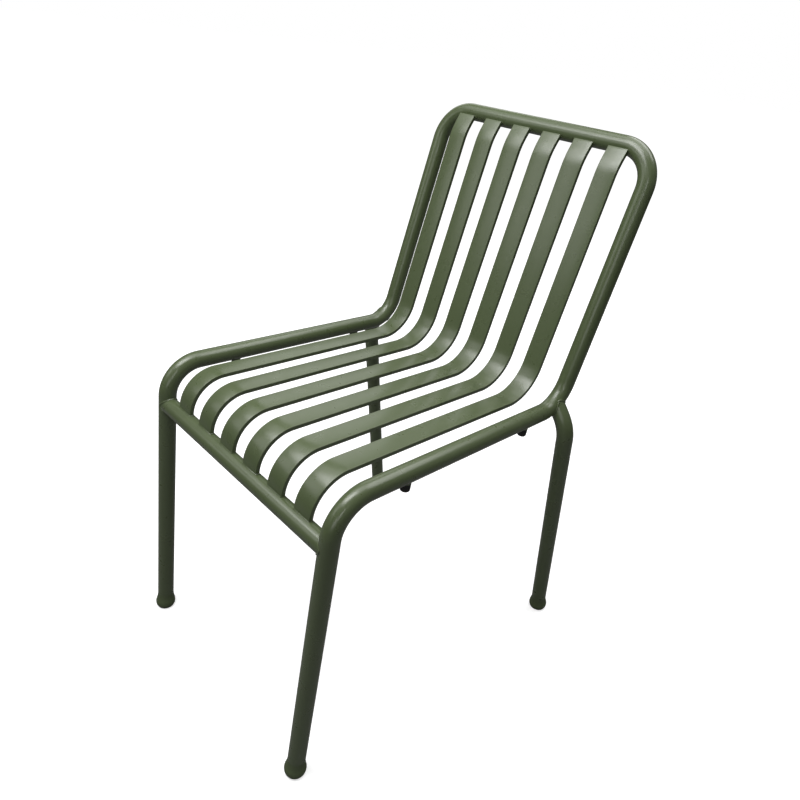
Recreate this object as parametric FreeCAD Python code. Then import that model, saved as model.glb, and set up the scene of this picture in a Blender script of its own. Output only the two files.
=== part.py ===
"""Slatted garden chair of bent metal tube and flat bar, in millimetres.

The chair faces -Y, +Z is up, and the origin lies on the floor under the middle of
the chair. Heights are above the floor. Depths are measured back from the point
where the front legs' centre line meets the floor, and the finished pieces are
moved so that the origin is central. The sitter's left is +X.
"""
import FreeCAD
import Part
import math
import os

# Tube of the frame, the cross tube and the rear legs
tube_diameter = 25.0
tube_wall = 2.0
bend_radius = 50.0
weld_gap = 0.2

# Side view of the main frame, at the crossings of its centre lines
rail_spacing = 376.0
knee_depth = 34.0
knee_height = 450.0
seat_rear_depth = 460.0
seat_rear_height = 436.0
back_top_depth = 551.0
back_top_height = 796.0

# Cross tube between the front legs
cross_tube_height = 390.0

# Rear legs, welded to the rails' rear bends and standing outboard so that chairs stack
rear_knee_reach = 30.5
rear_knee_lead = 2.5
rear_knee_drop = 31.5
rear_foot_reach = 35.5
rear_foot_setback = 66.0

# Slats, one flat bar each from the cross tube to the top rail
slat_count = 6
slat_width = 30.0
slat_thickness = 6.0
slat_front_lead = 1.0
slat_seat_drop = 7.0
slat_back_proud = 10.4
slat_front_radius = 54.0
slat_rear_radius = 57.0
slat_kick_drop = 33.5
slat_kick_radius = 86.0
slat_tip_drop = 6.5
slat_tip_proud = 1.5

# Feet, tapering from a ball that is cut off at the floor up to the tube's size
foot_diameter = 31.0
foot_centre_height = 8.0
foot_taper_height = 20.0
spigot_length = 22.0
spigot_rib_width = 4.0
spigot_clearance = 0.2
glide_height = 3.5

# Stacking bumpers under the side rails
bumper_depths = (143.0, 379.5)
bumper_diameter = 13.5
bumper_boss_drop = 1.4
bumper_height = 11.2

tube_radius = tube_diameter / 2
bore_radius = tube_radius - tube_wall
foot_radius = foot_diameter / 2
rail_side = rail_spacing / 2
point = FreeCAD.Vector
across = point(1, 0, 0)
upward = point(0, 0, 1)


def unit(vector):
    """A copy of the vector with length 1."""
    return point(vector).normalize()


def bend_points(before, corner, after, radius):
    """Start, middle and end of the arc that rounds a corner of a path."""
    to_before = unit(before - corner)
    to_after = unit(after - corner)
    half_angle = to_before.getAngle(to_after) / 2
    bisector = unit(to_before + to_after)
    setback = radius / math.tan(half_angle)
    middle = corner + bisector * (radius / math.sin(half_angle) - radius)
    return corner + to_before * setback, middle, corner + to_after * setback


def path_edges(corners, radii):
    """Straight runs joined by tangent arcs, one radius for each inner corner."""
    edges = []
    last = corners[0]
    for before, corner, after, radius in zip(corners, corners[1:], corners[2:], radii):
        start, middle, end = bend_points(before, corner, after, radius)
        edges.append(Part.LineSegment(last, start).toShape())
        edges.append(Part.Arc(start, middle, end).toShape())
        last = end
    edges.append(Part.LineSegment(last, corners[-1]).toShape())
    return edges


def bent_rod(corners, radius):
    """Solid round bar along a bent centre line."""
    path = Part.Wire(path_edges(corners, [bend_radius] * (len(corners) - 2)))
    section = Part.Wire(Part.makeCircle(radius, corners[0], corners[1] - corners[0]))
    return path.makePipe(Part.Face(section))


def leg_bore(end, corner, beyond):
    """Bore of a leg's straight run, from its open end to where it starts to bend."""
    run = bend_points(end, corner, beyond, bend_radius)[0] - end
    return Part.makeCylinder(bore_radius, run.Length, end, run)


def front_foot(side):
    return point(side * rail_side, 0, 0)


def front_knee(side):
    return point(side * rail_side, knee_depth, knee_height)


def seat_rear(side):
    return point(side * rail_side, seat_rear_depth, seat_rear_height)


def back_top(side):
    return point(side * rail_side, back_top_depth, back_top_height)


def rear_weld(side):
    """Middle of a rail's rear bend, where the rear leg meets it."""
    return bend_points(front_knee(side), seat_rear(side), back_top(side), bend_radius)[1]


def rear_knee(side):
    return rear_weld(side) + point(side * rear_knee_reach, -rear_knee_lead, -rear_knee_drop)


def rear_foot(side):
    return point(side * (rail_side + rear_foot_reach), seat_rear_depth + rear_foot_setback, 0)


def foot_centre(foot, knee):
    """Centre of a foot's ball, on the leg's centre line."""
    along = unit(knee - foot)
    return foot + along * (foot_centre_height / along.z)


def leg_end(foot, knee):
    """Where a leg's tube ends and its foot's taper begins."""
    return foot_centre(foot, knee) + unit(knee - foot) * foot_taper_height


def main_frame_corners():
    """Centre line of the main frame tube, from the right foot round to the left."""
    right = [leg_end(front_foot(-1), front_knee(-1)), front_knee(-1), seat_rear(-1), back_top(-1)]
    left = [leg_end(front_foot(1), front_knee(1)), front_knee(1), seat_rear(1), back_top(1)]
    return right + left[::-1]


def rail_centre(side, depth):
    """Point of a side rail's centre line at a depth."""
    share = (depth - knee_depth) / (seat_rear_depth - knee_depth)
    return front_knee(side) + (seat_rear(side) - front_knee(side)) * share


def rail_downward():
    """Direction square to the side rails, away from the seat."""
    return unit((seat_rear(1) - front_knee(1)).cross(across))


def main_frame_tube():
    """Frame tube, bored in its legs; past their bends it is closed all round and left solid."""
    corners = main_frame_corners()
    bores = [leg_bore(*corners[:3]), leg_bore(*corners[:-4:-1])]
    return bent_rod(corners, tube_radius).cut(bores)


def weld_clear_of_main_frame(shape):
    """Shape cut back to a weld's gap from the main frame tube."""
    return shape.cut(bent_rod(main_frame_corners(), tube_radius + weld_gap))


def cross_tube_centre(side):
    """Point of a front leg's centre line at the cross tube's height."""
    return front_foot(side) + (front_knee(side) - front_foot(side)) * (cross_tube_height / knee_height)


def cross_rod(radius):
    return Part.makeCylinder(radius, rail_spacing, cross_tube_centre(-1), across)


def front_cross_tube():
    return weld_clear_of_main_frame(cross_rod(tube_radius).cut(cross_rod(bore_radius)))


def rear_leg(side):
    """Leg from its foot up to its knee, then inward to the rail, its end notched to seat on the bend."""
    corners = [leg_end(rear_foot(side), rear_knee(side)), rear_knee(side), rear_weld(side)]
    along_bend = unit(seat_rear(side) - front_knee(side)) + unit(back_top(side) - seat_rear(side))
    notch_start = rear_weld(side) - unit(along_bend) * tube_diameter
    notch = Part.makeCylinder(tube_radius + weld_gap, tube_diameter * 2, notch_start, along_bend)
    return bent_rod(corners, tube_radius).cut([leg_bore(*corners), notch])


def behind(start, end):
    """Direction square to a run of a slat's side view, towards its hidden face."""
    return unit((end - start).cross(across))


def crossing(point_a, along_a, point_b, along_b):
    """Where two lines of the side view cross."""
    square_b = along_b.cross(across)
    return point_a + along_a * ((point_b - point_a).dot(square_b) / along_a.dot(square_b))


def slat_face_corners():
    """Corners of a slat's visible face in the side view, from the cross tube to the tip."""
    knee, rear, top = (point(0, corner(1).y, corner(1).z) for corner in (front_knee, seat_rear, back_top))
    foot = point(0, front_foot(1).y, front_foot(1).z)
    along_leg, along_rail, along_back = unit(knee - foot), unit(rear - knee), unit(top - rear)
    cross_tube = point(0, cross_tube_centre(1).y, cross_tube_centre(1).z)
    start = cross_tube - behind(foot, knee) * slat_front_lead
    seat = knee - behind(knee, rear) * (tube_radius - slat_seat_drop)
    back = rear - behind(rear, top) * (tube_radius + slat_back_proud)
    front_corner = crossing(start, along_leg, seat, along_rail)
    rear_corner = crossing(seat, along_rail, back, along_back)
    in_front_of_top = top - behind(rear, top) * (tube_radius + slat_back_proud)
    kick = in_front_of_top - along_back * slat_kick_drop
    tip = top - behind(rear, top) * (tube_radius + slat_tip_proud) - along_back * slat_tip_drop
    return [start, front_corner, rear_corner, kick, tip]


def hidden_face_corners(corners):
    """The same corners moved square to the slat by its thickness."""
    squares = [behind(start, end) for start, end in zip(corners, corners[1:])]
    moved = [corners[0] + squares[0] * slat_thickness]
    for corner, square, next_square in zip(corners[1:], squares, squares[1:]):
        middle = unit(square + next_square)
        moved.append(corner + middle * (slat_thickness / middle.dot(square)))
    moved.append(corners[-1] + squares[-1] * slat_thickness)
    return moved


def slat(number):
    """Flat bar bent in the side view, with ends fitted to the cross tube and the top rail."""
    face = slat_face_corners()
    hidden = hidden_face_corners(face)
    face_radii = [slat_front_radius, slat_rear_radius, slat_kick_radius]
    hidden_radii = [slat_front_radius - slat_thickness, slat_rear_radius + slat_thickness,
                    slat_kick_radius - slat_thickness]
    outline = path_edges(face, face_radii) + path_edges(hidden, hidden_radii)
    outline.append(Part.LineSegment(face[0], hidden[0]).toShape())
    outline.append(Part.LineSegment(face[-1], hidden[-1]).toShape())
    side_view = Part.Face(Part.Wire(Part.__sortEdges__(outline)))
    clear_width = rail_spacing - tube_diameter
    slat_gap = (clear_width - slat_count * slat_width) / (slat_count + 1)
    first_side = slat_gap - clear_width / 2
    side_view.translate(across * (first_side + (number - 1) * (slat_width + slat_gap)))
    bar = side_view.extrude(across * slat_width)
    return weld_clear_of_main_frame(bar.cut(cross_rod(tube_radius + weld_gap)))


def section_point(radius, height):
    return point(radius, 0, height)


def slab(bottom, top):
    """Everything between two heights, wide enough for any foot."""
    reach = rail_spacing + back_top_depth + rear_foot_reach
    return Part.makeBox(reach * 2, reach * 2, top - bottom, point(-reach, -reach, bottom))


def foot_body():
    """Ball with a taper tangent to it, about the Z axis with the ball's centre at the origin."""
    neck = section_point(tube_radius, foot_taper_height)
    ball_top_angle = math.atan2(neck.z, neck.x) - math.acos(foot_radius / neck.Length)
    ball_top = section_point(foot_radius * math.cos(ball_top_angle), foot_radius * math.sin(ball_top_angle))
    bottom = section_point(0, -foot_radius)
    top = section_point(0, foot_taper_height)
    outline = [
        Part.Arc(bottom, section_point(foot_radius, 0), ball_top).toShape(),
        Part.LineSegment(ball_top, neck).toShape(),
        Part.LineSegment(neck, top).toShape(),
        Part.LineSegment(top, bottom).toShape(),
    ]
    return Part.Face(Part.Wire(outline)).revolve(point(0, 0, 0), upward, 360)


def foot_spigot():
    """Crossed ribs on top of the foot's body, which grip in the leg's bore."""
    half_width = spigot_rib_width / 2
    half_span = math.sqrt((bore_radius - spigot_clearance) ** 2 - half_width ** 2)
    ribs = []
    for half_x, half_y in ((half_span, half_width), (half_width, half_span)):
        corner = point(-half_x, -half_y, foot_taper_height)
        ribs.append(Part.makeBox(half_x * 2, half_y * 2, spigot_length, corner))
    return ribs


def foot_cap(foot, knee):
    """Foot with its spigot up the leg's centre line, cut level above its glide."""
    cap = foot_body().fuse(foot_spigot()).removeSplitter()
    cap.Placement = FreeCAD.Placement(foot_centre(foot, knee), FreeCAD.Rotation(upward, knee - foot))
    return cap.common(slab(glide_height, knee_height))


def glide(foot, knee):
    """Underside that carries the line of the foot's ball down to the floor."""
    centre = foot_centre(foot, knee)
    floor_radius = math.sqrt(foot_radius ** 2 - foot_centre_height ** 2)
    top_radius = math.sqrt(foot_radius ** 2 - (foot_centre_height - glide_height) ** 2)
    return Part.makeCone(floor_radius, top_radius, glide_height, point(centre.x, centre.y, 0))


def bumper_boss(side, depth):
    """Stub welded under a side rail, its top notched to seat on the tube."""
    length = tube_radius + bumper_boss_drop
    stub = Part.makeCylinder(bumper_diameter / 2, length, rail_centre(side, depth), rail_downward())
    return weld_clear_of_main_frame(stub)


def stacking_bumper(side, depth):
    """Plug on the boss's flat end."""
    seat = rail_centre(side, depth) + rail_downward() * (tube_radius + bumper_boss_drop)
    return Part.makeCylinder(bumper_diameter / 2, bumper_height, seat, rail_downward())


def save(name, solids):
    """One STEP file for a piece, or for a set of like pieces, with the origin under the middle."""
    front = foot_centre(front_foot(1), front_knee(1)).y - foot_radius
    middle = (front + back_top_depth + tube_radius) / 2
    shape = solids[0] if len(solids) == 1 else Part.makeCompound(solids)
    shape.translate(point(0, -middle, 0))
    shape.exportStep(os.path.join("parts", name + ".step"))
    print(name, "solids", len(shape.Solids), "valid", shape.isValid(), "volume", round(shape.Volume))


os.makedirs("parts", exist_ok=True)
sides = (-1, 1)
save("main_frame_tube", [main_frame_tube()])
save("front_cross_tube", [front_cross_tube()])
for number in range(1, slat_count + 1):
    save("slat_{}".format(number), [slat(number)])
for side, hand in zip(sides, ("right", "left")):
    save("rear_leg_" + hand, [rear_leg(side)])
legs = [(front_foot(side), front_knee(side)) for side in sides]
legs += [(rear_foot(side), rear_knee(side)) for side in sides]
bumpers = [(side, depth) for side in sides for depth in bumper_depths]
save("feet", [foot_cap(foot, knee) for foot, knee in legs])
save("glides", [glide(foot, knee) for foot, knee in legs])
save("bumper_bosses", [bumper_boss(side, depth) for side, depth in bumpers])
save("stacking_bumpers", [stacking_bumper(side, depth) for side, depth in bumpers])
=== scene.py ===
import math
import bpy
from mathutils import Matrix, Vector


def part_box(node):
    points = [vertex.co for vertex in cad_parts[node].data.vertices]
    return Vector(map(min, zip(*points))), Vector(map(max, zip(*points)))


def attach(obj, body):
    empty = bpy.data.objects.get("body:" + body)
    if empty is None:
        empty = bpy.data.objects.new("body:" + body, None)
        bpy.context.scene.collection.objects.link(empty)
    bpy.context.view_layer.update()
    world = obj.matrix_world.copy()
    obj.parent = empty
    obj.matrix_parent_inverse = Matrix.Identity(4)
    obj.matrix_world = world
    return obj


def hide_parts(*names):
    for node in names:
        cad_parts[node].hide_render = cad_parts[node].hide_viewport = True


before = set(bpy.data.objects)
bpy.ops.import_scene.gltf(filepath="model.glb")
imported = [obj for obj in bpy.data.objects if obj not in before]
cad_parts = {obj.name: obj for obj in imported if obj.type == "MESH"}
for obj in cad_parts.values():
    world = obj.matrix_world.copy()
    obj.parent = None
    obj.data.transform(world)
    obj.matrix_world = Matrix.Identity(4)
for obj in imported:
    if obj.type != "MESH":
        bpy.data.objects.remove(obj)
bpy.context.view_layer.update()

# Camera: the photograph's own viewpoint, in front of the chair and above it on the
# sitter's left, leaning a little to one side.
camera_place = Vector((0.5887, -0.5988, 0.8915))
camera_azimuth = math.radians(42.48)
camera_elevation = math.radians(29.53)
camera_roll = math.radians(7.58)
photo_width = 800
focal_length_pixels = 641.18
sensor_width = 36.0

camera_turn = Matrix.Rotation(camera_azimuth, 4, "Z")
camera_turn @= Matrix.Rotation(math.pi / 2 - camera_elevation, 4, "X")
camera_turn @= Matrix.Rotation(camera_roll, 4, "Z")
bpy.ops.object.camera_add(location=camera_place, rotation=camera_turn.to_euler())
camera = bpy.context.object
camera.data.sensor_width = sensor_width
camera.data.lens = focal_length_pixels * sensor_width / photo_width
bpy.context.scene.camera = camera

# Main frame: one aluminium tube, bent six times. It runs from the right foot up the front
# leg, back as the seat's side rail, up the back, over the top, and down the same way on the
# left. Everything else is welded to it before the whole chair is powder coated olive green.
tube_radius = 0.0125
tube_wall = 0.002
tube_sides = 64
bend_radius = 0.050
bend_step = math.radians(4)
bend_support = 0.003
bore_depth = 0.024
smooth_below = math.radians(32)
frame_low, frame_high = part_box("main_frame_tube")
rail_side = frame_high.x - tube_radius
back_top = Vector((rail_side, frame_high.y - tube_radius, frame_high.z - tube_radius))
foot_to_back_top = 0.551
knee_setback = 0.034
knee_height = 0.450
seat_rear_setback = 0.460
seat_rear_height = 0.436
front_foot = Vector((rail_side, back_top.y - foot_to_back_top, 0))
front_knee = front_foot + Vector((0, knee_setback, knee_height))
seat_rear = front_foot + Vector((0, seat_rear_setback, seat_rear_height))
foot_centre_height = 0.008
foot_flare_length = 0.020
doubles_distance = 1e-6
across = Vector((1, 0, 0))
olive = (0.085, 0.112, 0.050, 1)
olive_pale = (0.091, 0.119, 0.055, 1)
drift_scale = 9
drift_detail = 4
drift_spread = (0.35, 0.65)
patch_scale = 55
patch_detail = 3
patch_spread = (0.3, 0.7)
peel_detail = 2
coat_ior = 1.5
skin_roughness = 0.22


def other_side(point):
    """The same place on the sitter's right."""
    return Vector((-point.x, point.y, point.z))


def leg_end(foot, knee):
    """Where a leg's tube stops and the foot takes over."""
    along = (knee - foot).normalized()
    return foot + along * (foot_centre_height / along.z + foot_flare_length)


def start_section(name, centre, along, radius, sides):
    """A ring of edges square to a direction, ready to be pushed along it."""
    bpy.ops.object.select_all(action="DESELECT")
    turn = along.to_track_quat("Z", "Y").to_euler()
    bpy.ops.mesh.primitive_circle_add(vertices=sides, radius=radius, location=centre, rotation=turn)
    piece = bpy.context.object
    piece.name = name
    bpy.ops.object.transform_apply(location=True, rotation=True, scale=True)
    bpy.ops.object.mode_set(mode="EDIT")
    bpy.ops.mesh.select_all(action="SELECT")
    return piece


def extrude(step):
    """Pushes the selected edges or faces out by a step."""
    bpy.ops.mesh.extrude_region_move(TRANSFORM_OT_translate={"value": step})


def extrude_run(start, end, support):
    """A straight run, with a ring close to each end so that its shading stays straight."""
    along = (end - start).normalized() * support
    extrude(along)
    extrude(end - start - along * 2)
    extrude(along)


def push_along(corners, radii):
    """Takes the selected section along straight runs, and spins it through the bend at each corner."""
    place = corners[0]
    for before, corner, after, radius in zip(corners, corners[1:], corners[2:], radii):
        arriving = (corner - before).normalized()
        leaving = (after - corner).normalized()
        turn = arriving.angle(leaving)
        setback = radius * math.tan(turn / 2)
        inward = (leaving - arriving * leaving.dot(arriving)).normalized()
        extrude_run(place, corner - arriving * setback, bend_support)
        bpy.ops.mesh.spin(steps=math.ceil(turn / bend_step), angle=turn, axis=leaving.cross(arriving),
                          center=corner - arriving * setback + inward * radius)
        place = corner + leaving * setback
    extrude_run(place, corners[-1], bend_support)


def select_faces(piece, wanted):
    """In edit mode, selects just the faces that pass a test on the face."""
    bpy.ops.mesh.select_all(action="DESELECT")
    bpy.ops.object.mode_set(mode="OBJECT")
    for face in piece.data.polygons:
        face.select = wanted(face)
    bpy.ops.object.mode_set(mode="EDIT")


def close_and_face_out():
    """Caps open ends, merges doubles and turns all faces outward."""
    bpy.ops.mesh.select_all(action="SELECT")
    bpy.ops.mesh.remove_doubles(threshold=doubles_distance)
    bpy.ops.mesh.select_all(action="DESELECT")
    bpy.ops.mesh.select_non_manifold()
    bpy.ops.mesh.edge_face_add()
    bpy.ops.mesh.select_all(action="SELECT")
    bpy.ops.mesh.normals_make_consistent(inside=False)


def bore_end(piece, end, along):
    """Opens a tube's capped end: a wall's width of rim, and a bore as deep as the foot's spigot."""
    select_faces(piece, lambda face: len(face.vertices) == tube_sides
                 and (face.center - end).length < tube_wall)
    bpy.ops.mesh.inset(thickness=tube_wall)
    extrude(along.normalized() * bore_depth)


def finish_piece(piece, material, slot, *nodes):
    """Smooth shading below the angle of a real edge, and the piece's place in the chair."""
    bpy.ops.object.select_all(action="DESELECT")
    piece.select_set(True)
    bpy.context.view_layer.objects.active = piece
    bpy.ops.object.shade_smooth_by_angle(angle=smooth_below)
    piece.data.materials.clear()
    piece.data.materials.append(material)
    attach(piece, "root")
    if nodes:
        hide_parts(*nodes)


def coat_material(name, colour, pale, roughness_low, roughness_high, peel_size, peel_depth, skin):
    """Satin finish: slow drift of colour, patchy gloss, orange peel and a share of clear skin on top."""
    material = bpy.data.materials.new(name)
    material.use_nodes = True
    nodes = material.node_tree.nodes
    link = material.node_tree.links.new
    shader = nodes["Principled BSDF"]
    place = nodes.new("ShaderNodeTexCoord")
    drift = nodes.new("ShaderNodeTexNoise")
    drift.inputs["Scale"].default_value = drift_scale
    drift.inputs["Detail"].default_value = drift_detail
    link(place.outputs["Object"], drift.inputs["Vector"])
    colours = nodes.new("ShaderNodeValToRGB")
    for stop, position, shade in zip(colours.color_ramp.elements, drift_spread, (colour, pale)):
        stop.position = position
        stop.color = shade
    link(drift.outputs["Fac"], colours.inputs["Fac"])
    link(colours.outputs["Color"], shader.inputs["Base Color"])
    patches = nodes.new("ShaderNodeTexNoise")
    patches.inputs["Scale"].default_value = patch_scale
    patches.inputs["Detail"].default_value = patch_detail
    link(place.outputs["Object"], patches.inputs["Vector"])
    gloss = nodes.new("ShaderNodeMapRange")
    gloss.inputs["From Min"].default_value = patch_spread[0]
    gloss.inputs["From Max"].default_value = patch_spread[1]
    gloss.inputs["To Min"].default_value = roughness_low
    gloss.inputs["To Max"].default_value = roughness_high
    link(patches.outputs["Fac"], gloss.inputs["Value"])
    link(gloss.outputs["Result"], shader.inputs["Roughness"])
    peel = nodes.new("ShaderNodeTexNoise")
    peel.inputs["Scale"].default_value = 1 / peel_size
    peel.inputs["Detail"].default_value = peel_detail
    link(place.outputs["Object"], peel.inputs["Vector"])
    bump = nodes.new("ShaderNodeBump")
    bump.inputs["Distance"].default_value = peel_depth
    link(peel.outputs["Fac"], bump.inputs["Height"])
    link(bump.outputs["Normal"], shader.inputs["Normal"])
    shader.inputs["IOR"].default_value = coat_ior
    shader.inputs["Coat Weight"].default_value = skin
    shader.inputs["Coat Roughness"].default_value = skin_roughness
    return material


powder_coat = coat_material("olive_powder_coat", olive, olive_pale, roughness_low=0.26, roughness_high=0.34,
                            peel_size=0.0022, peel_depth=0.000004, skin=0.5)
left_leg_end = leg_end(front_foot, front_knee)
left_corners = [left_leg_end, front_knee, seat_rear, back_top]
frame_corners = [other_side(corner) for corner in left_corners] + left_corners[::-1]
main_frame = start_section("main_frame", frame_corners[0], frame_corners[1] - frame_corners[0],
                           tube_radius, tube_sides)
push_along(frame_corners, [bend_radius] * (len(frame_corners) - 2))
close_and_face_out()
bpy.ops.object.mode_set(mode="OBJECT")
coping_form = main_frame.copy()
coping_form.data = main_frame.data.copy()
coping_form.name = "coping_form"
bpy.context.collection.objects.link(coping_form)
bpy.ops.object.select_all(action="DESELECT")
main_frame.select_set(True)
bpy.context.view_layer.objects.active = main_frame
bpy.ops.object.mode_set(mode="EDIT")
for end, knee in ((left_leg_end, front_knee), (other_side(left_leg_end), other_side(front_knee))):
    bore_end(main_frame, end, knee - end)
bpy.ops.object.mode_set(mode="OBJECT")
finish_piece(main_frame, powder_coat, "powder_coated_metal", "main_frame_tube")

# Front cross tube: a straight piece of the same tube between the front legs, just under the
# knees. Its ends are coped to fit round the legs and welded there.
cross_tube_height = 0.390
bead_radius = 0.0014
bead_sides = 10
cope_tolerance = 0.00005
cope_allowance = 0.002
weld_reach = tube_radius * 2
cross_end_support = tube_radius * 2


def cope(piece, form):
    """Cuts a piece's end to fit closely on another, as a saw or a mill would."""
    bpy.ops.object.select_all(action="DESELECT")
    piece.select_set(True)
    bpy.context.view_layer.objects.active = piece
    cut = piece.modifiers.new("cope", "BOOLEAN")
    cut.operation = "DIFFERENCE"
    cut.solver = "EXACT"
    cut.object = form
    bpy.ops.object.modifier_apply(modifier=cut.name)


def weld_bead(name, piece, form, near, reach, radius):
    """Bead of weld along the edge of a coped face, within reach of a place."""
    def on_the_cope(face):
        nearest = form.closest_point_on_mesh(face.center)[1]
        return (face.center - near).length < reach and (nearest - face.center).length < cope_tolerance
    bpy.ops.object.select_all(action="DESELECT")
    piece.select_set(True)
    bpy.context.view_layer.objects.active = piece
    bpy.ops.object.mode_set(mode="EDIT")
    bpy.ops.mesh.select_mode(type="FACE")
    select_faces(piece, on_the_cope)
    bpy.ops.mesh.region_to_loop()
    bpy.ops.mesh.select_mode(type="EDGE")
    bpy.ops.mesh.duplicate()
    bpy.ops.mesh.separate(type="SELECTED")
    bpy.ops.object.mode_set(mode="OBJECT")
    bead = [chosen for chosen in bpy.context.selected_objects if chosen != piece][0]
    bead.name = name
    bpy.ops.object.select_all(action="DESELECT")
    bead.select_set(True)
    bpy.context.view_layer.objects.active = bead
    bpy.ops.object.mode_set(mode="EDIT")
    bpy.ops.mesh.select_all(action="SELECT")
    bpy.ops.mesh.remove_doubles(threshold=radius / 2)
    bpy.ops.object.mode_set(mode="OBJECT")
    bpy.ops.object.convert(target="CURVE")
    bead = bpy.context.object
    bead.data.bevel_depth = radius
    bead.data.bevel_resolution = bead_sides // 2 - 2
    bpy.ops.object.convert(target="MESH")
    return bpy.context.object


cross_left = front_foot + (front_knee - front_foot) * (cross_tube_height / front_knee.z)
cross_right = other_side(cross_left)
cross_start = cross_right + across * cope_allowance
cross_end = cross_left - across * cope_allowance
cross_tube = start_section("cross_tube", cross_start, across, tube_radius, tube_sides)
extrude_run(cross_start, cross_end, cross_end_support)
close_and_face_out()
bpy.ops.object.mode_set(mode="OBJECT")
cope(cross_tube, coping_form)
cross_beads = [weld_bead("cross_tube_weld_" + hand, cross_tube, coping_form, end, weld_reach, bead_radius)
               for hand, end in (("right", cross_right), ("left", cross_left))]
finish_piece(cross_tube, powder_coat, "powder_coated_metal", "front_cross_tube")
for bead in cross_beads:
    finish_piece(bead, powder_coat, "powder_coated_metal")

# Slats: six flat bars, 30 by 6 mm with drawn edges. Each is bent three times, on its way from the
# cross tube over the front of the seat, along it, up the back, and back to the top rail. Both
# ends are cut round to fit their tubes and welded.
slat_low, slat_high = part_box("slat_1")
slat_count = 6
slat_width = slat_high.x - slat_low.x
slat_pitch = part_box("slat_2")[0].x - slat_low.x
slat_thickness = 0.006
slat_edge_radius = 0.0006
slat_edge_segments = 4
slat_front_lead = 0.001
slat_seat_drop = 0.007
slat_back_proud = 0.0104
slat_front_radius = 0.054
slat_rear_radius = 0.057
slat_kick_drop = 0.0335
slat_kick_radius = 0.086
slat_tip_drop = 0.0065
slat_tip_proud = 0.0015
slat_tip_rounding = 0.0005
slat_tip_segments = 2
slat_bead_radius = 0.0009


def behind(start, end):
    """Direction square to a run of the side view, towards a slat's hidden face."""
    return (end - start).cross(across).normalized()


def crossing(place_a, along_a, place_b, along_b):
    """Where two lines of the side view cross."""
    square = along_b.cross(across)
    return place_a + along_a * ((place_b - place_a).dot(square) / along_a.dot(square))


def at_slat(point):
    """The place in the first slat's middle plane."""
    return Vector((slat_low.x + slat_width / 2, point.y, point.z))


along_leg = (front_knee - front_foot).normalized()
along_rail = (seat_rear - front_knee).normalized()
along_back = (back_top - seat_rear).normalized()
slat_start = at_slat(cross_left) - behind(front_foot, front_knee) * slat_front_lead
seat_face = at_slat(front_knee) - behind(front_knee, seat_rear) * (tube_radius - slat_seat_drop)
back_face = at_slat(seat_rear) - behind(seat_rear, back_top) * (tube_radius + slat_back_proud)
front_of_rail = at_slat(back_top) - behind(seat_rear, back_top) * tube_radius
slat_tip = front_of_rail - behind(seat_rear, back_top) * slat_tip_proud - along_back * slat_tip_drop
slat_corners = [
    slat_start,
    crossing(slat_start, along_leg, seat_face, along_rail),
    crossing(seat_face, along_rail, back_face, along_back),
    front_of_rail - behind(seat_rear, back_top) * slat_back_proud - along_back * slat_kick_drop,
    slat_tip,
]
bpy.ops.object.select_all(action="DESELECT")
section_middle = slat_start + behind(front_foot, front_knee) * (slat_thickness / 2)
bpy.ops.mesh.primitive_plane_add(size=1, location=section_middle,
                                 rotation=along_leg.to_track_quat("Z", "Y").to_euler())
first_slat = bpy.context.object
first_slat.name = "slat_bar_1"
first_slat.scale = (slat_width, slat_thickness, 1)
bpy.ops.object.transform_apply(location=True, rotation=True, scale=True)
bpy.ops.object.mode_set(mode="EDIT")
bpy.ops.mesh.select_all(action="SELECT")
bpy.ops.mesh.bevel(offset=slat_edge_radius, segments=slat_edge_segments, affect="VERTICES")
push_along(slat_corners, [slat_front_radius, slat_rear_radius, slat_kick_radius])
bpy.ops.mesh.bevel(offset=slat_tip_rounding, segments=slat_tip_segments, affect="EDGES")
bpy.ops.mesh.select_all(action="SELECT")
bpy.ops.mesh.normals_make_consistent(inside=False)
bpy.ops.object.mode_set(mode="OBJECT")
slats = [first_slat]
while len(slats) < slat_count:
    bpy.ops.object.select_all(action="DESELECT")
    slats[-1].select_set(True)
    bpy.context.view_layer.objects.active = slats[-1]
    bpy.ops.object.duplicate_move(TRANSFORM_OT_translate={"value": across * slat_pitch})
    bpy.ops.object.transform_apply(location=True, rotation=False, scale=False)
    slats.append(bpy.context.object)
    slats[-1].name = "slat_bar_" + str(len(slats))
front_beads = []
top_beads = []
for number, slat in enumerate(slats):
    sideways = across * (slat_pitch * number)
    cope(slat, cross_tube)
    cope(slat, coping_form)
    front_beads.append(weld_bead("slat_front_weld", slat, cross_tube, slat_start + sideways,
                                 slat_width, slat_bead_radius))
    top_beads.append(weld_bead("slat_top_weld", slat, coping_form, slat_tip + sideways,
                               slat_width, slat_bead_radius))
    finish_piece(slat, powder_coat, "powder_coated_metal", "slat_" + str(number + 1))


def join_beads(name, beads):
    """Makes one piece of the slats' beads at one end."""
    bpy.ops.object.select_all(action="DESELECT")
    for bead in beads:
        bead.select_set(True)
    bpy.context.view_layer.objects.active = beads[0]
    bpy.ops.object.join()
    beads[0].name = name
    finish_piece(beads[0], powder_coat, "powder_coated_metal")


join_beads("slat_front_welds", front_beads)
join_beads("slat_top_welds", top_beads)

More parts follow.
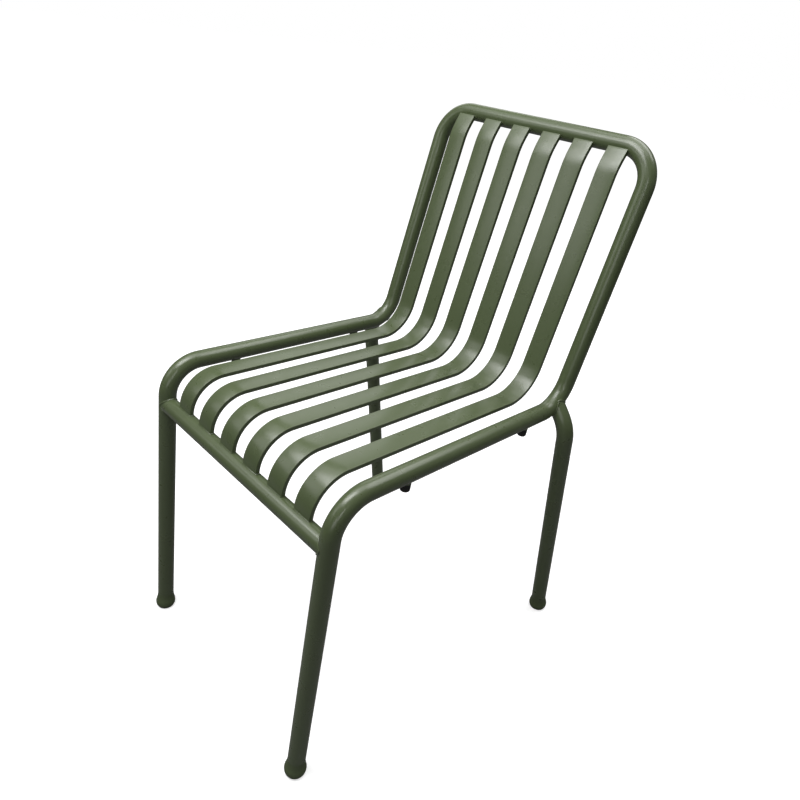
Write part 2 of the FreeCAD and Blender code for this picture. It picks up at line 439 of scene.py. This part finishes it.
# Rear legs: the same tube, bent once. Each leans inward at its knee and is coped and welded to
# the outer side of the side rail's rear bend, so that chairs stack.
rear_knee_reach = 0.0305
rear_knee_lead = 0.0025
rear_knee_drop = 0.0315
rear_foot_reach = 0.0355
rear_foot_setback = 0.066
rail_bend = along_rail.angle(along_back)
rail_bend_inward = (along_back - along_rail).normalized()
rear_weld = seat_rear + rail_bend_inward * (bend_radius / math.cos(rail_bend / 2) - bend_radius)
rear_knee = rear_weld + Vector((rear_knee_reach, -rear_knee_lead, -rear_knee_drop))
rear_foot = seat_rear + Vector((rear_foot_reach, rear_foot_setback, -seat_rear.z))
left_rear_leg_corners = [leg_end(rear_foot, rear_knee), rear_knee,
                         rear_weld + (rear_knee - rear_weld).normalized() * cope_allowance]
for hand, corners in (("left", left_rear_leg_corners),
                      ("right", [other_side(corner) for corner in left_rear_leg_corners])):
    rear_leg = start_section(hand + "_rear_leg", corners[0], corners[1] - corners[0], tube_radius, tube_sides)
    push_along(corners, [bend_radius])
    close_and_face_out()
    bore_end(rear_leg, corners[0], corners[1] - corners[0])
    bpy.ops.object.mode_set(mode="OBJECT")
    cope(rear_leg, coping_form)
    bead = weld_bead(hand + "_rear_leg_weld", rear_leg, coping_form, corners[-1], weld_reach, bead_radius)
    finish_piece(rear_leg, powder_coat, "powder_coated_metal", "rear_leg_" + hand)
    finish_piece(bead, powder_coat, "powder_coated_metal")

# Feet: nylon caps in the coat's own green, moulded to flare from the tube to a ball. A ribbed
# spigot holds each in its leg, and the ball is cut level above a black glide.
foot_radius = 0.0155
foot_rings = 14
ball_underside = math.radians(60)
glide_height = 0.0035
spigot_length = 0.022
spigot_rib_width = 0.004
spigot_clearance = 0.0002
foot_nylon = coat_material("foot_nylon", olive, olive_pale, roughness_low=0.44, roughness_high=0.54,
                           peel_size=0.0009, peel_depth=0.00002, skin=0)
foot_widening = foot_radius - tube_radius
flare_radius = (foot_flare_length ** 2 + tube_radius ** 2 - foot_radius ** 2) / (foot_widening * 2)
flare_angle = math.asin(foot_flare_length / (foot_radius + flare_radius))
foot_outline = []
for ring in range(foot_rings + 1):
    angle = flare_angle * ring / foot_rings
    foot_outline.append((tube_radius + flare_radius * (1 - math.cos(angle)),
                         foot_flare_length - flare_radius * math.sin(angle)))
for ring in range(1, foot_rings + 1):
    angle = flare_angle - (flare_angle + ball_underside) * ring / foot_rings
    foot_outline.append((foot_radius * math.cos(angle), foot_radius * math.sin(angle)))


def push_outline(outline):
    """Takes a ring about the Z axis down through the radii and heights of an outline."""
    for (last_radius, last_height), (radius, height) in zip(outline, outline[1:]):
        extrude(Vector((0, 0, height - last_height)))
        share = radius / last_radius
        bpy.ops.transform.resize(value=(share, share, 1), center_override=(0, 0, height))


def add_rib(across_x, across_y):
    """One rib of the cross-shaped spigot, a little of it down inside the foot."""
    bpy.ops.object.select_all(action="DESELECT")
    middle = foot_flare_length + spigot_length / 2 - spigot_rib_width / 2
    bpy.ops.mesh.primitive_cube_add(size=1, location=(0, 0, middle))
    rib = bpy.context.object
    rib.scale = (across_x, across_y, spigot_length + spigot_rib_width)
    bpy.ops.object.transform_apply(location=True, rotation=True, scale=True)
    return rib


def merge(piece, other):
    """Makes one closed skin of two overlapping shapes."""
    bpy.ops.object.select_all(action="DESELECT")
    piece.select_set(True)
    bpy.context.view_layer.objects.active = piece
    joined = piece.modifiers.new("merge", "BOOLEAN")
    joined.operation = "UNION"
    joined.solver = "EXACT"
    joined.object = other
    bpy.ops.object.modifier_apply(modifier=joined.name)
    bpy.data.objects.remove(other)


upward = Vector((0, 0, 1))
foot_model = start_section("foot_model", upward * foot_flare_length, upward, tube_radius, tube_sides)
push_outline(foot_outline)
close_and_face_out()
bpy.ops.object.mode_set(mode="OBJECT")
rib_span = 2 * math.sqrt((tube_radius - tube_wall - spigot_clearance) ** 2 - (spigot_rib_width / 2) ** 2)
merge(foot_model, add_rib(rib_span, spigot_rib_width))
merge(foot_model, add_rib(spigot_rib_width, rib_span))
feet = {"front_left": (front_foot, front_knee), "rear_left": (rear_foot, rear_knee)}
for place, ends in list(feet.items()):
    feet[place.replace("left", "right")] = tuple(other_side(end) for end in ends)
foot_centres = {}
for place, (foot, knee) in feet.items():
    along = (knee - foot).normalized()
    foot_centres[place] = foot + along * (foot_centre_height / along.z)
    bpy.ops.object.select_all(action="DESELECT")
    foot_model.select_set(True)
    bpy.context.view_layer.objects.active = foot_model
    bpy.ops.object.duplicate()
    cap = bpy.context.object
    cap.name = "foot_cap_" + place
    cap.location = foot_centres[place]
    cap.rotation_euler = along.to_track_quat("Z", "Y").to_euler()
    bpy.ops.object.transform_apply(location=True, rotation=True, scale=True)
    bpy.ops.object.mode_set(mode="EDIT")
    bpy.ops.mesh.select_all(action="SELECT")
    bpy.ops.mesh.bisect(plane_co=(0, 0, glide_height), plane_no=upward, use_fill=True, clear_inner=True)
    bpy.ops.object.mode_set(mode="OBJECT")
    finish_piece(cap, foot_nylon, "foot_plastic", "feet")
bpy.data.objects.remove(foot_model)

# Glides: black nylon buttons pressed into the undersides of the feet, a little narrower below,
# with a rounded edge and a dished underside, so that the chair slides without marking a floor.
glide_edge_rounding = 0.0008
glide_edge_segments = 4
glide_rim_width = 0.004
glide_dish_depth = 0.0008
black_nylon_colour = (0.016, 0.016, 0.015, 1)
black_nylon_worn = (0.026, 0.025, 0.024, 1)
black_nylon = coat_material("black_nylon", black_nylon_colour, black_nylon_worn, roughness_low=0.45,
                            roughness_high=0.62, peel_size=0.0008, peel_depth=0.00002, skin=0)
glide_top_radius = math.sqrt(foot_radius ** 2 - (foot_centre_height - glide_height) ** 2)
glide_floor_radius = math.sqrt(foot_radius ** 2 - foot_centre_height ** 2)
for place, centre in foot_centres.items():
    top = Vector((centre.x, centre.y, glide_height))
    glide = start_section("glide_" + place, top, upward, glide_top_radius, tube_sides)
    extrude(-upward * glide_height)
    share = glide_floor_radius / glide_top_radius
    bpy.ops.transform.resize(value=(share, share, 1), center_override=(centre.x, centre.y, 0))
    close_and_face_out()
    select_faces(glide, lambda face: face.center.z < glide_edge_rounding / 2)
    bpy.ops.mesh.bevel(offset=glide_edge_rounding, segments=glide_edge_segments, affect="EDGES")
    select_faces(glide, lambda face: face.center.z < doubles_distance)
    bpy.ops.mesh.inset(thickness=glide_rim_width)
    bpy.ops.mesh.inset(thickness=glide_dish_depth, depth=-glide_dish_depth)
    bpy.ops.object.mode_set(mode="OBJECT")
    finish_piece(glide, black_nylon, "glide_plastic", "glides")

# Stacking bumpers: two short bosses welded under each side rail, with a black rubber plug in
# each, which rests on the next chair's rail when chairs are stacked.
bumper_depths = (0.143, 0.3795)
bumper_radius = 0.00675
bumper_sides = 40
bumper_boss_drop = 0.0014
bumper_boss_rounding = 0.0004
bumper_boss_segments = 3
bumper_height = 0.0112
bumper_tip_radius = 0.0064
bumper_tip_rounding = 0.0024
bumper_tip_segments = 8
boss_bead_radius = 0.0008
rubber_black = (0.012, 0.012, 0.012, 1)
rubber_dusty = (0.022, 0.021, 0.020, 1)
rubber = coat_material("black_rubber", rubber_black, rubber_dusty, roughness_low=0.55, roughness_high=0.75,
                       peel_size=0.0006, peel_depth=0.00002, skin=0)
rail_downward = behind(front_knee, seat_rear)
for depth, place in zip(bumper_depths, ("front", "rear")):
    share = (depth + front_foot.y - front_knee.y) / (seat_rear.y - front_knee.y)
    left_centre = front_knee + (seat_rear - front_knee) * share
    for hand, centre in (("left", left_centre), ("right", other_side(left_centre))):
        boss = start_section("bumper_boss_{}_{}".format(place, hand), centre, rail_downward,
                             bumper_radius, bumper_sides)
        extrude(rail_downward * (tube_radius + bumper_boss_drop))
        close_and_face_out()
        seat = centre + rail_downward * (tube_radius + bumper_boss_drop)
        select_faces(boss, lambda face: (face.center - seat).length < bumper_boss_rounding)
        bpy.ops.mesh.bevel(offset=bumper_boss_rounding, segments=bumper_boss_segments, affect="EDGES")
        bpy.ops.object.mode_set(mode="OBJECT")
        cope(boss, coping_form)
        bead = weld_bead("bumper_boss_weld_{}_{}".format(place, hand), boss, coping_form,
                         centre + rail_downward * tube_radius, bumper_radius * 2, boss_bead_radius)
        finish_piece(boss, powder_coat, "powder_coated_metal", "bumper_bosses")
        finish_piece(bead, powder_coat, "powder_coated_metal")
        plug = start_section("stacking_bumper_{}_{}".format(place, hand), seat, rail_downward,
                             bumper_radius, bumper_sides)
        tip = seat + rail_downward * bumper_height
        extrude(rail_downward * bumper_height)
        narrowing = bumper_tip_radius / bumper_radius
        bpy.ops.transform.resize(value=(narrowing, narrowing, 1), center_override=tip)
        close_and_face_out()
        select_faces(plug, lambda face: (face.center - tip).length < bumper_tip_rounding / 4)
        bpy.ops.mesh.bevel(offset=bumper_tip_rounding, segments=bumper_tip_segments, affect="EDGES")
        bpy.ops.object.mode_set(mode="OBJECT")
        finish_piece(plug, rubber, "bumper_rubber", "stacking_bumpers")

# Floor and light: a plain white floor that runs on into a white room, both lit to white for the
# camera alone, so that the chair's undersides stay dark. Large soft boxes stand above and behind
# the chair, smaller ones to the right of its back, and two weak ones by the camera.
white = (1, 1, 1, 1)
floor_size = 60
floor_roughness = 0.9
floor_white = 0.80
floor_return = 0.18
floor_lift_near = 0.55
floor_lift_far = 1.0
floor_near_reach = 3.0
room_return = 0.10
room_white = 1.0
bpy.ops.object.select_all(action="DESELECT")
bpy.ops.mesh.primitive_plane_add(size=floor_size, location=(0, 0, 0))
floor = bpy.context.object
floor.name = "floor"
floor_paint = bpy.data.materials.new("white_floor")
floor_paint.use_nodes = True
floor_nodes = floor_paint.node_tree.nodes
floor_link = floor_paint.node_tree.links.new
floor_shader = floor_nodes["Principled BSDF"]
floor_shader.inputs["Roughness"].default_value = floor_roughness
floor_shader.inputs["Specular IOR Level"].default_value = 0
floor_shader.inputs["Emission Color"].default_value = white
floor_seen = floor_nodes.new("ShaderNodeLightPath")
floor_shade = floor_nodes.new("ShaderNodeMapRange")
floor_shade.inputs["To Min"].default_value = floor_return
floor_shade.inputs["To Max"].default_value = floor_white
floor_link(floor_seen.outputs["Is Camera Ray"], floor_shade.inputs["Value"])
floor_link(floor_shade.outputs["Result"], floor_shader.inputs["Base Color"])
floor_place = floor_nodes.new("ShaderNodeTexCoord")
floor_reach = floor_nodes.new("ShaderNodeVectorMath")
floor_reach.operation = "LENGTH"
floor_link(floor_place.outputs["Object"], floor_reach.inputs[0])
floor_lift = floor_nodes.new("ShaderNodeMapRange")
floor_lift.inputs["From Max"].default_value = floor_near_reach
floor_lift.inputs["To Min"].default_value = floor_lift_near
floor_lift.inputs["To Max"].default_value = floor_lift_far
floor_link(floor_reach.outputs["Value"], floor_lift.inputs["Value"])
floor_glow = floor_nodes.new("ShaderNodeMath")
floor_glow.operation = "MULTIPLY"
floor_link(floor_seen.outputs["Is Camera Ray"], floor_glow.inputs[0])
floor_link(floor_lift.outputs["Result"], floor_glow.inputs[1])
floor_link(floor_glow.outputs["Value"], floor_shader.inputs["Emission Strength"])
floor.data.materials.append(floor_paint)


def soft_box(name, aim, azimuth, elevation, distance, width, height, watts):
    """A soft light facing a place, its azimuth in degrees from straight before the chair to its left."""
    turn, rise = math.radians(azimuth), math.radians(elevation)
    outward = Vector((math.sin(turn) * math.cos(rise), -math.cos(turn) * math.cos(rise), math.sin(rise)))
    bpy.ops.object.light_add(type="AREA", location=aim + outward * distance,
                             rotation=outward.to_track_quat("Z", "Y").to_euler())
    light = bpy.context.object
    light.name = name
    light.visible_camera = False
    light.data.shape = "RECTANGLE"
    light.data.size = width
    light.data.size_y = height
    light.data.energy = watts


chair_middle = Vector((0, 0, 0.4))
seat_middle = Vector((0, -0.1, 0.45))
back_middle = Vector((0, 0.2, 0.7))
soft_box("overhead_light", chair_middle, azimuth=200, elevation=84, distance=2.6,
         width=2.0, height=2.0, watts=24)
soft_box("back_light", chair_middle, azimuth=170, elevation=55, distance=3,
         width=2.6, height=1.2, watts=29)
soft_box("near_right_light", back_middle, azimuth=295, elevation=50, distance=1.5,
         width=0.8, height=0.8, watts=2.2)
soft_box("near_top_light", back_middle, azimuth=352, elevation=58, distance=1.4,
         width=0.7, height=0.9, watts=10)
soft_box("near_front_light", back_middle, azimuth=335, elevation=48, distance=1.4,
         width=0.8, height=0.7, watts=4.5)
soft_box("near_level_light", back_middle, azimuth=322, elevation=38, distance=1.4,
         width=0.6, height=0.5, watts=2.2)
soft_box("low_front_light", back_middle, azimuth=330, elevation=15, distance=1.5,
         width=0.7, height=0.5, watts=1.4)
soft_box("right_light", seat_middle, azimuth=225, elevation=30, distance=1.8,
         width=1.0, height=0.7, watts=2.4)
soft_box("camera_light", chair_middle, azimuth=25, elevation=15, distance=3,
         width=1.2, height=1.0, watts=5.5)
soft_box("high_camera_light", chair_middle, azimuth=43, elevation=30, distance=3,
         width=0.3, height=1.0, watts=4.5)

room = bpy.data.worlds.new("white_room")
bpy.context.scene.world = room
room.use_nodes = True
walls = room.node_tree.nodes["Background"]
walls.inputs["Color"].default_value = white
room_seen = room.node_tree.nodes.new("ShaderNodeLightPath")
room_glow = room.node_tree.nodes.new("ShaderNodeMapRange")
room_glow.inputs["To Min"].default_value = room_return
room_glow.inputs["To Max"].default_value = room_white
room.node_tree.links.new(room_seen.outputs["Is Camera Ray"], room_glow.inputs["Value"])
room.node_tree.links.new(room_glow.outputs["Result"], walls.inputs["Strength"])
bpy.context.scene.view_settings.view_transform = "Standard"

bpy.data.objects.remove(coping_form)
